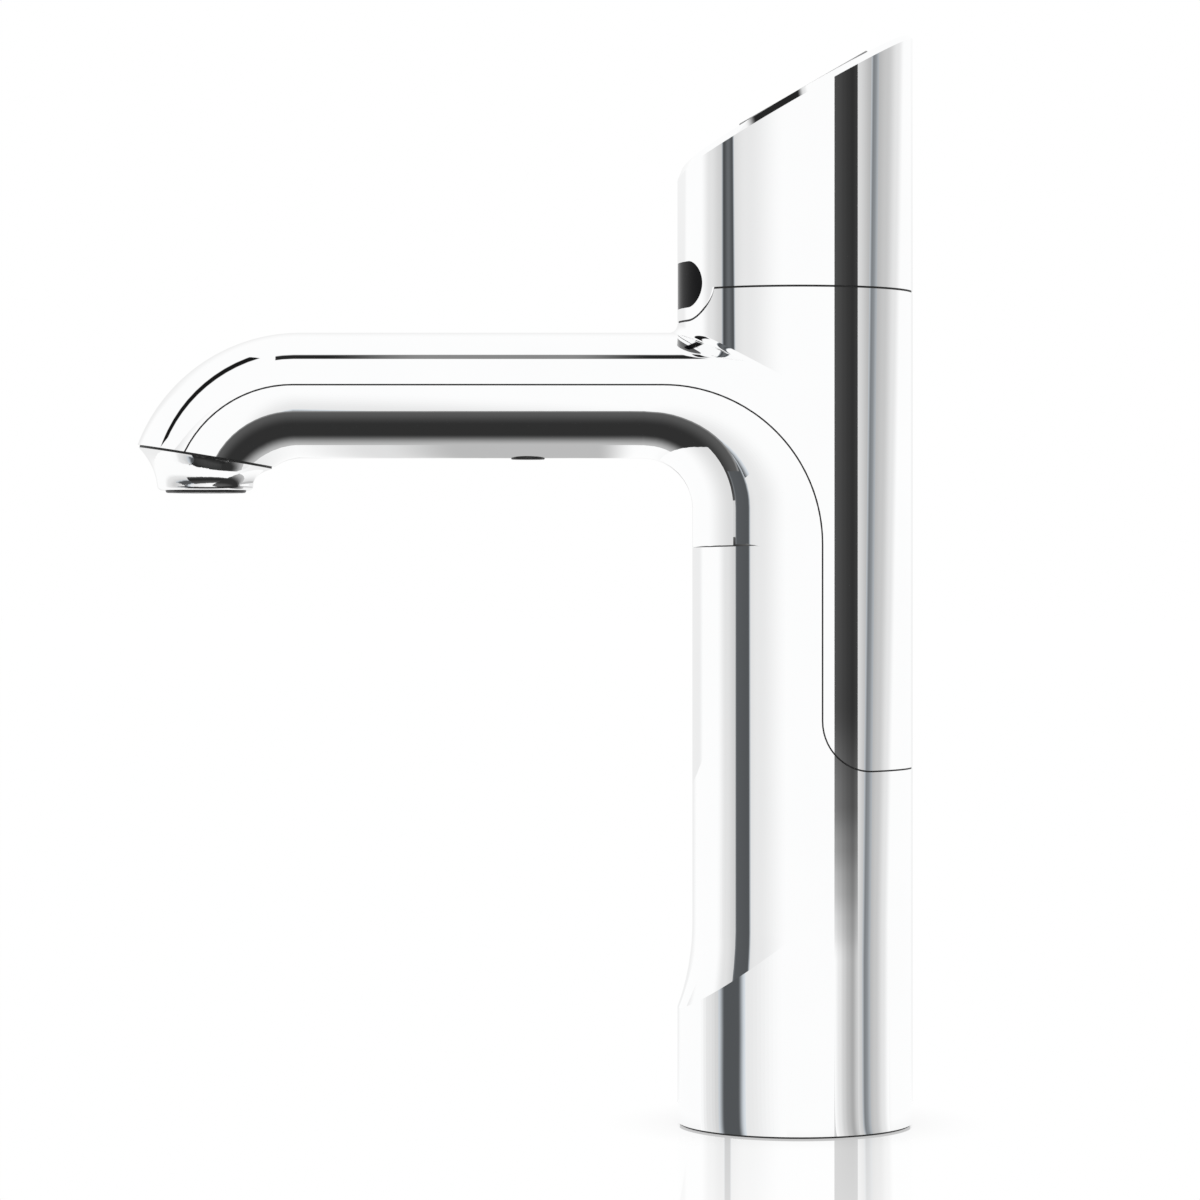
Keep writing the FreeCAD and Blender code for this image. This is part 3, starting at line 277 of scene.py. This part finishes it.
def polished(name, forms):
    """Stands for a node with the same facets and the exact normals of the forms that they lie on."""
    mesh = welded(frame["nodes"][name])
    corners = read(mesh.loops, "vertex_index", 1, np.int32)[:, 0]
    places = read(mesh.vertices, "co", 3)[corners].astype(float)
    normals = read(mesh.corner_normals, "vector", 3).astype(float).reshape(-1, 3, 3)
    flat = np.repeat(read(mesh.polygons, "normal", 3), 3, axis=0)
    best = np.full(len(mesh.polygons), FORM_REACH)
    for form in forms:
        away, way = form(places)
        worst = np.abs(away).reshape(-1, 3).max(1)
        lean = (way * flat).sum(1).reshape(-1, 3).mean(1)
        fits = (worst < best) & (lean > FORM_LEAN)
        normals[fits] = way.reshape(-1, 3, 3)[fits]
        best[fits] = worst[fits]
    mesh.normals_split_custom_set(normals.reshape(-1, 3).tolist())
    piece = bpy.data.objects.new(name + "_polished", mesh)
    bpy.context.scene.collection.objects.link(piece)
    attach(piece, frame["nodes"][name]["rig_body"])
    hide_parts(name)
    return piece


class Finish:
    """A material with one glossy shader and the noise that varies it, at real scale."""

    def __init__(self, name, color, metallic=0.0):
        self.material = bpy.data.materials.new(name)
        self.material.use_nodes = True
        self.nodes = self.material.node_tree.nodes
        self.links = self.material.node_tree.links
        self.shader = self.nodes["Principled BSDF"]
        self.shader.inputs["Base Color"].default_value = (*color, 1)
        self.shader.inputs["Metallic"].default_value = metallic
        self.shader.inputs["Roughness"].default_value = PLAIN_ROUGHNESS
        self.place = self.nodes.new("ShaderNodeTexCoord").outputs["Object"]

    def stretched(self, scale):
        node = self.nodes.new("ShaderNodeMapping")
        node.inputs["Scale"].default_value = scale
        self.links.new(self.place, node.inputs["Vector"])
        return node.outputs["Vector"]

    def noise(self, size, detail=3.0, scale=(1, 1, 1)):
        """Noise whose blotches are about that size in metres."""
        node = self.nodes.new("ShaderNodeTexNoise")
        node.inputs["Scale"].default_value = 1 / size
        node.inputs["Detail"].default_value = detail
        self.links.new(self.stretched(scale), node.inputs["Vector"])
        return node.outputs["Fac"]

    def ramp(self, value, low, high):
        node = self.nodes.new("ShaderNodeMapRange")
        node.inputs["From Min"].default_value = NOISE_LOW
        node.inputs["From Max"].default_value = NOISE_HIGH
        node.inputs["To Min"].default_value = low
        node.inputs["To Max"].default_value = high
        self.links.new(value, node.inputs["Value"])
        return node.outputs["Result"]

    def colours(self, value, dark, light):
        node = self.nodes.new("ShaderNodeValToRGB")
        node.color_ramp.elements[0].position = NOISE_LOW
        node.color_ramp.elements[1].position = NOISE_HIGH
        node.color_ramp.elements[0].color = (*dark, 1)
        node.color_ramp.elements[1].color = (*light, 1)
        self.links.new(value, node.inputs["Fac"])
        self.links.new(node.outputs["Color"], self.shader.inputs["Base Color"])

    def rough(self, value, low, high):
        self.links.new(self.ramp(value, low, high), self.shader.inputs["Roughness"])

    def bump(self, value, height, strength=1.0):
        node = self.nodes.new("ShaderNodeBump")
        node.inputs["Distance"].default_value = height
        node.inputs["Strength"].default_value = strength
        self.links.new(value, node.inputs["Height"])
        self.links.new(node.outputs["Normal"], self.shader.inputs["Normal"])


def chrome():
    finish = Finish("polished_chrome", (0.975, 0.978, 0.981), 1.0)
    finish.colours(finish.noise(0.03), (0.97, 0.973, 0.976), (0.98, 0.983, 0.986))
    finish.rough(finish.noise(0.012, 6), 0.006, 0.02)
    return finish.material


def black_gloss():
    finish = Finish("black_gloss", (0.004, 0.004, 0.005))
    finish.shader.inputs["Specular IOR Level"].default_value = 0.03
    finish.colours(finish.noise(0.004), (0.003, 0.003, 0.004), (0.006, 0.006, 0.007))
    finish.rough(finish.noise(0.006, 5), 0.05, 0.1)
    return finish.material


def black_satin():
    finish = Finish("black_satin", (0.014, 0.014, 0.015))
    finish.colours(finish.noise(0.002), (0.011, 0.011, 0.012), (0.019, 0.019, 0.02))
    finish.rough(finish.noise(0.003, 5), 0.25, 0.38)
    finish.bump(finish.noise(0.0004, 2), 0.00001)
    return finish.material


def rubber(name, shade):
    finish = Finish(name, (shade, shade, shade))
    finish.colours(finish.noise(0.003), (shade * 0.7,) * 3, (shade * 1.3,) * 3)
    finish.rough(finish.noise(0.002, 5), 0.55, 0.75)
    finish.bump(finish.noise(0.0005, 3), 0.00003)
    return finish.material


def moulded(name, dark, light):
    finish = Finish(name, light)
    finish.colours(finish.noise(0.005), dark, light)
    finish.rough(finish.noise(0.002, 4), 0.35, 0.5)
    finish.bump(finish.noise(0.0006, 3), 0.00002)
    return finish.material


def turned(name, dark, light, rough, grooves):
    """Metal with the fine rings that a lathe leaves round the upright axis."""
    finish = Finish(name, light, 1.0)
    finish.colours(finish.noise(0.006, 5), dark, light)
    finish.rough(finish.noise(0.002, 5), rough * 0.7, rough * 1.3)
    wave = finish.nodes.new("ShaderNodeTexWave")
    wave.wave_type = "RINGS"
    wave.rings_direction = "Z"
    wave.inputs["Scale"].default_value = grooves
    wave.inputs["Distortion"].default_value = 0.4
    finish.links.new(finish.place, wave.inputs["Vector"])
    finish.bump(wave.outputs["Fac"], 0.00001, 0.5)
    return finish.material


def drawn(name, dark, light):
    """Tube metal with faint streaks along its length and darker patches."""
    finish = Finish(name, light, 1.0)
    finish.colours(finish.noise(0.01, 5), dark, light)
    finish.rough(finish.noise(0.001, 4, (1, 1, 0.05)), 0.2, 0.34)
    return finish.material


def circuit_board():
    """Green lacquer over copper lines."""
    finish = Finish("circuit_board", (0.02, 0.12, 0.05))
    bricks = finish.nodes.new("ShaderNodeTexBrick")
    bricks.inputs["Scale"].default_value = 220
    bricks.inputs["Mortar Size"].default_value = 0.04
    bricks.inputs["Color1"].default_value = (0.015, 0.1, 0.04, 1)
    bricks.inputs["Color2"].default_value = (0.02, 0.13, 0.05, 1)
    bricks.inputs["Mortar"].default_value = (0.06, 0.25, 0.09, 1)
    finish.links.new(finish.place, bricks.inputs["Vector"])
    finish.links.new(bricks.outputs["Color"], finish.shader.inputs["Base Color"])
    finish.rough(finish.noise(0.004, 4), 0.25, 0.4)
    finish.bump(bricks.outputs["Fac"], 0.00003, 0.4)
    return finish.material


def dress():
    """Gives every node the finish of its material slot; the polished nodes get welded facets, with the
    exact normals of their forms where they have any.
    """
    finishes = {
        "chrome": chrome(),
        "seal": rubber("seal_rubber", 0.012),
        "dark_window": black_gloss(),
        "button": black_satin(),
        "black_plastic": moulded("black_plastic", (0.012, 0.012, 0.012), (0.022, 0.022, 0.023)),
        "white_plastic": moulded("white_plastic", (0.66, 0.66, 0.63), (0.74, 0.74, 0.71)),
        "circuit_board": circuit_board(),
        "steel": turned("screw_steel", (0.42, 0.42, 0.43), (0.56, 0.56, 0.57), 0.3, 900),
        "brass": turned("turned_brass", (0.62, 0.43, 0.16), (0.78, 0.58, 0.27), 0.26, 500),
        "copper": drawn("copper_tube", (0.55, 0.26, 0.14), (0.8, 0.42, 0.25)),
        "cable_jacket": rubber("cable_jacket", 0.03),
    }
    slots = {part["node"]: part["material_slot"] for part in frame["record"]["subparts"]}
    shown = dict(frame["nodes"])
    for name in ("front_body", "rear_shell"):
        shown[name] = polished(name, BODY_FORMS)
    for name in ("head_shell", "sensor_window"):
        shown[name] = polished(name, HEAD_FORMS)
    for name in ("boil_button", "chill_button", "outlet_nozzle"):
        shown[name] = polished(name, ())
    for name, piece in shown.items():
        piece.data.materials.clear()
        piece.data.materials.append(finishes[slots[name]])


def seen_rays(nodes, links):
    """One for the rays that show the background: from the camera, or off metal, or through glass."""
    path = nodes.new("ShaderNodeLightPath")
    either = nodes.new("ShaderNodeMath")
    either.operation = "MAXIMUM"
    links.new(path.outputs["Is Camera Ray"], either.inputs[0])
    links.new(path.outputs["Is Glossy Ray"], either.inputs[1])
    any_ray = nodes.new("ShaderNodeMath")
    any_ray.operation = "MAXIMUM"
    links.new(either.outputs[0], any_ray.inputs[0])
    links.new(path.outputs["Is Transmission Ray"], any_ray.inputs[1])
    return any_ray.outputs[0]


def studio_world():
    """White all round; its light on the matt pieces is a little lower."""
    world = bpy.data.worlds.new("studio")
    bpy.context.scene.world = world
    world.use_nodes = True
    nodes, links = world.node_tree.nodes, world.node_tree.links
    light = nodes["Background"]
    light.inputs["Color"].default_value = (1, 1, 1, 1)
    light.inputs["Strength"].default_value = 0.8
    white = nodes.new("ShaderNodeBackground")
    white.inputs["Color"].default_value = (1, 1, 1, 1)
    mix = nodes.new("ShaderNodeMixShader")
    links.new(seen_rays(nodes, links), mix.inputs["Fac"])
    links.new(light.outputs["Background"], mix.inputs[1])
    links.new(white.outputs["Background"], mix.inputs[2])
    links.new(mix.outputs["Shader"], nodes["World Output"].inputs["Surface"])


def floor_material():
    """White floor with a soft contact shadow, and a faint mirror image at a flat angle of view."""
    material = bpy.data.materials.new("studio_floor")
    material.use_nodes = True
    nodes, links = material.node_tree.nodes, material.node_tree.links
    nodes.remove(nodes["Principled BSDF"])
    shade = nodes.new("ShaderNodeAmbientOcclusion")
    shade.samples = 8
    shade.inputs["Distance"].default_value = 0.02
    level = nodes.new("ShaderNodeMapRange")
    level.inputs["To Min"].default_value = 0.8
    level.inputs["To Max"].default_value = 1.0
    links.new(shade.outputs["AO"], level.inputs["Value"])
    white = nodes.new("ShaderNodeEmission")
    links.new(level.outputs["Result"], white.inputs["Strength"])
    matt = nodes.new("ShaderNodeBsdfDiffuse")
    matt.inputs["Color"].default_value = (0.85, 0.85, 0.85, 1)
    mirror = nodes.new("ShaderNodeBsdfGlossy")
    mirror.inputs["Color"].default_value = (1, 1, 1, 1)
    mirror.inputs["Roughness"].default_value = 0.02
    base = nodes.new("ShaderNodeMixShader")
    links.new(seen_rays(nodes, links), base.inputs["Fac"])
    links.new(matt.outputs["BSDF"], base.inputs[1])
    links.new(white.outputs["Emission"], base.inputs[2])
    slant = nodes.new("ShaderNodeMapRange")
    slant.inputs["From Min"].default_value = 0.78
    slant.inputs["From Max"].default_value = 0.86
    slant.inputs["To Max"].default_value = 0.4
    links.new(nodes.new("ShaderNodeLayerWeight").outputs["Facing"], slant.inputs["Value"])
    both = nodes.new("ShaderNodeMixShader")
    links.new(slant.outputs["Result"], both.inputs["Fac"])
    links.new(base.outputs["Shader"], both.inputs[1])
    links.new(mirror.outputs["BSDF"], both.inputs[2])
    links.new(both.outputs["Shader"], nodes["Material Output"].inputs["Surface"])
    return material


def grid(name, place, steps, rises=(0, 1)):
    """Stage mesh from a function of two shares, with those shares as its texture coordinates."""
    rows = len(rises)
    shares = [(step / steps, rise) for step in range(steps + 1) for rise in rises]
    starts = [step * rows + row for step in range(steps) for row in range(rows - 1)]
    mesh = bpy.data.meshes.new(name)
    facets = [[n + 1, n + 1 + rows, n + rows, n] for n in starts]
    mesh.from_pydata([place(*share) for share in shares], [], facets)
    layer = mesh.uv_layers.new(name="shares")
    for loop in mesh.loops:
        layer.data[loop.index].uv = shares[loop.vertex_index]
    piece = bpy.data.objects.new(name, mesh)
    bpy.context.scene.collection.objects.link(piece)
    return piece


def tone_ramp(nodes, links, value, stops):
    """Grey level that runs softly through the stops, which are pairs of a share and a level."""
    ramp = nodes.new("ShaderNodeValToRGB")
    ramp.color_ramp.interpolation = "EASE"
    while len(ramp.color_ramp.elements) < len(stops):
        ramp.color_ramp.elements.new(0.5)
    for element, (position, level) in zip(ramp.color_ramp.elements, stops):
        element.position = position
        element.color = (level, level, level, 1)
    links.new(value, ramp.inputs["Fac"])
    return ramp.outputs["Color"]


def card(name, place, across, upwards=((0, 0), (1, 0)), blend="MAXIMUM", tint=(1, 1, 1)):
    """Card whose front shows in polished metal only: its glowing tones are painted light and shade for
    the metal to mirror. Its tones follow the stops; 1 is plain white.
    """
    piece = grid(name, place, CARD_STEPS, CARD_RISES)
    material = bpy.data.materials.new(name)
    material.use_nodes = True
    nodes, links = material.node_tree.nodes, material.node_tree.links
    nodes.remove(nodes["Principled BSDF"])
    split = nodes.new("ShaderNodeSeparateXYZ")
    links.new(nodes.new("ShaderNodeTexCoord").outputs["UV"], split.inputs["Vector"])
    level = nodes.new("ShaderNodeMath")
    level.operation = blend
    links.new(tone_ramp(nodes, links, split.outputs["X"], across), level.inputs[0])
    links.new(tone_ramp(nodes, links, split.outputs["Y"], upwards), level.inputs[1])
    glow = nodes.new("ShaderNodeEmission")
    glow.inputs["Color"].default_value = (*tint, 1)
    links.new(level.outputs[0], glow.inputs["Strength"])
    either = nodes.new("ShaderNodeMixShader")
    links.new(nodes.new("ShaderNodeNewGeometry").outputs["Backfacing"], either.inputs["Fac"])
    links.new(glow.outputs["Emission"], either.inputs[1])
    links.new(nodes.new("ShaderNodeBsdfTransparent").outputs["BSDF"], either.inputs[2])
    links.new(either.outputs["Shader"], nodes["Material Output"].inputs["Surface"])
    piece.data.materials.append(material)
    piece.visible_camera = False
    piece.visible_diffuse = False
    piece.visible_shadow = False
    piece.visible_transmission = False


def off_column(turn, reach):
    """Place that the column mirrors in that direction, in degrees from the camera towards +X."""
    half = math.radians(turn / 2)
    full = math.radians(turn)
    x = COLUMN_R * math.sin(half) + reach * math.sin(full)
    return x, -COLUMN_R * math.cos(half) - reach * math.cos(full)


def cove(low, high, distance, top, bottom=CARD_LIFT):
    """Card that runs out from the column's foot over the floor and then up, between two directions off
    the column; these change from the low pair on the floor to the high pair at the top."""
    def place(share, rise):
        out = min(1, 2 * rise)
        up = max(0, 2 * rise - 1)
        edges = [start + (stop - start) * up for start, stop in zip(low, high)]
        turn = edges[0] + (edges[1] - edges[0]) * share
        return *off_column(turn, distance * out), bottom + top * up
    return place


def lane(start, stop, reach, z):
    """Level card that runs out from the column between two directions."""
    def place(share, rise):
        return *off_column(start + (stop - start) * share, reach * rise), z
    return place


def bar(start, stop, half, far_half=None):
    """Flat card from one place to another, where its half width may change on the way. The stops run
    across it, from minus to plus the half width."""
    def place(share, rise):
        widths = [near + (far - near) * rise for near, far in zip(half, far_half or half)]
        sides = [(2 * share - 1) * width for width in widths]
        return [a + (b - a) * rise + side for a, b, side in zip(start, stop, sides)]
    return place


def side_cards():
    """Cards round the column: soft grey walls on both sides, and before them the strips of column, base
    and head. Two stand by the spout, about in line with the camera, so that its flank misses them."""
    card("wall_left", cove((-108, -12), (-108, -12), 1.5, 0.6, WALL_LIFT),
         ((0, 1), (0.15, 0.78), (0.3, 0.63), (0.6, 0.82), (1, 1)))
    card("flag_left",
         bar((-0.05, -0.0388, 0.037), (-0.05, -0.0384, 0.16), (0, -0.0094, 0), (0, -0.009, 0)),
         ((0, 0.2), (0.1, 0.1), (0.85, 0.09), (1, 0.6)), tint=SLATE)
    card("flag_head",
         bar((-0.046, -0.0346, 0.19), (-0.046, -0.0321, 0.36), (0, -0.0064, 0), (0, -0.0041, 0)),
         ((0, 0.5), (0.15, 0.07), (0.5, 0.14), (0.85, 0.08), (1, 0.6)), tint=SLATE)
    card("lane_left", lane(-83, -52, 0.45, CARD_LIFT),
         ((0, 0.64), (0.25, 0.09), (0.75, 0.09), (1, 0.74)), tint=SLATE)
    card("flag_far", bar((-0.43, -0.16, 0.05), (-0.43, -0.16, 0.13), (0, -0.035, 0)),
         ((0, 0.6), (0.2, 0.09), (0.8, 0.09), (1, 0.6)), tint=SLATE)
    card("wall_right", cove((60, 102), (60, 147), 0.6, 0.5, WALL_LIFT),
         ((0, 0.72), (0.3, 0.44), (0.55, 0.58), (0.8, 0.8), (1, 1)))
    card("flag_side", cove((66, 76), (84, 94), 0.45, 0.5),
         ((0, 0.55), (0.3, 0.22), (0.5, 0.26), (1, 0.46)), tint=SLATE)
    card("flag_right", cove((36, 61), (36, 61), 0.45, 0.5),
         ((0, 1), (0.22, 0.81), (0.4, 0.64), (0.58, 0.5), (0.77, 0.4), (1, 0.62)),
         ((0, 1), (0.5, 1), (0.512, 0.76), (0.527, 0.53), (0.541, 0.35), (0.556, 0.2), (0.592, 0.08),
          (1, 0.07)), blend="MULTIPLY")


def spout_cards():
    """Cards over, under and behind the spout, the dark line of the head's rim, a white one that keeps the
    slanted top light from above, and the grey behind the tap that draws its edges."""
    card("wall_back", bar((-0.075, 0.3, 0.07), (-0.075, 0.3, 0.42), (-0.275, 0, 0)),
         ((0, 1), (0.2, 0.86), (0.8, 0.86), (1, 1)), ((0, 0.84), (0.4, 0.86), (0.85, 1), (1, 1)))
    # floor_back: painted shadow of the floor behind the tap, a grey card that only the metal mirrors
    card("floor_back", bar((0, 0.04, CARD_LIFT), (0, 2, CARD_LIFT), (-0.05, 0, 0), (-1.15, 0, 0)),
         ((0, 1), (0.3, 0.88), (0.7, 0.88), (1, 1)))
    card("bar_above", bar((0.045, 0.195, 1.2), (-0.33, 0.195, 1.2), (0, 0.125, 0)),
         ((0, 1), (0.1, 0.02), (0.75, 0.02), (1, 1)),
         ((0, 0), (0.18, 0.02), (0.3, 0.25), (0.49, 0.25), (0.63, 0.02), (1, 0)))
    card("bar_tip", bar((-0.491, 0.482, 1.223), (-1.52, 0.027, 0.8), (-0.026, 0.115, -0.066)),
         ((0, 1), (0.15, 0.01), (0.85, 0.01), (1, 1)))
    card("bar_rim", bar((-0.048, -0.0035, 0.27), (-0.048, -0.022, 0.385), (0, -0.0045, 0)),
         ((0, 0.02), (1, 0.02)),
         ((0, 0.95), (0.18, 0.95), (0.25, 0.02), (0.77, 0.02), (0.91, 0.8), (1, 0.95)))
    card("shade_top", bar((-0.0485, 0.01, 0.259), (-0.0485, 0.01, 0.35), (0, -0.04, 0)),
         ((0, 1), (1, 1)))
    card("shelf_dark", bar((-0.135, -0.0165, SHELF_Z), (-0.027, -0.0165, SHELF_Z), (0, 0.0265, 0)),
         ((0, 0.3), (0.06, 0.1), (0.4, 0.03), (0.65, 0.03), (1, 0.5)))
    card("shelf_light", bar((-0.135, 0.205, SHELF_Z), (-0.027, 0.205, SHELF_Z), (0, 0.195, 0)),
         ((0, 0.5), (1, 0.5)), ((0, 1), (0.25, 0.75), (0.45, 0.5), (0.78, 0.5), (0.88, 1), (1, 1)))
    card("bend_light", bar((-0.042, 0.037, SHELF_Z), (-0.042, 0.037, 0.165), (0, -0.063, 0)),
         ((0, 1), (0.8, 1), (1, 0.72)))
    card("nozzle_dark",
         bar((-0.2, -0.065, 0.0775), (-0.112, -0.015, 0.1435), (0, 0.06, 0), (0, 0.01, 0)),
         ((0, 0.6), (0.15, 0.08), (0.8, 0.02), (1, 0.1)))


def camera():
    """Level camera square to the side of the tap, at the photograph's distance and framing."""
    data = bpy.data.cameras.new("camera")
    data.sensor_width = 36
    data.lens = 124.8
    data.shift_y = -0.0375
    data.clip_end = 20
    piece = bpy.data.objects.new("camera", data)
    piece.location = (-0.0498, -1.063, 0.1451)
    piece.rotation_euler = (math.radians(90), 0, 0)
    bpy.context.scene.collection.objects.link(piece)
    bpy.context.scene.camera = piece


def studio():
    """White surroundings and floor, the cards and the camera."""
    studio_world()
    floor = grid("floor", bar((-FLOOR_HALF, 0, 0), (FLOOR_HALF, 0, 0), (0, FLOOR_HALF, 0)), 1)
    floor.data.materials.append(floor_material())
    side_cards()
    spout_cards()
    camera()


dress()
studio()

bpy.context.scene.view_settings.view_transform = "Standard"
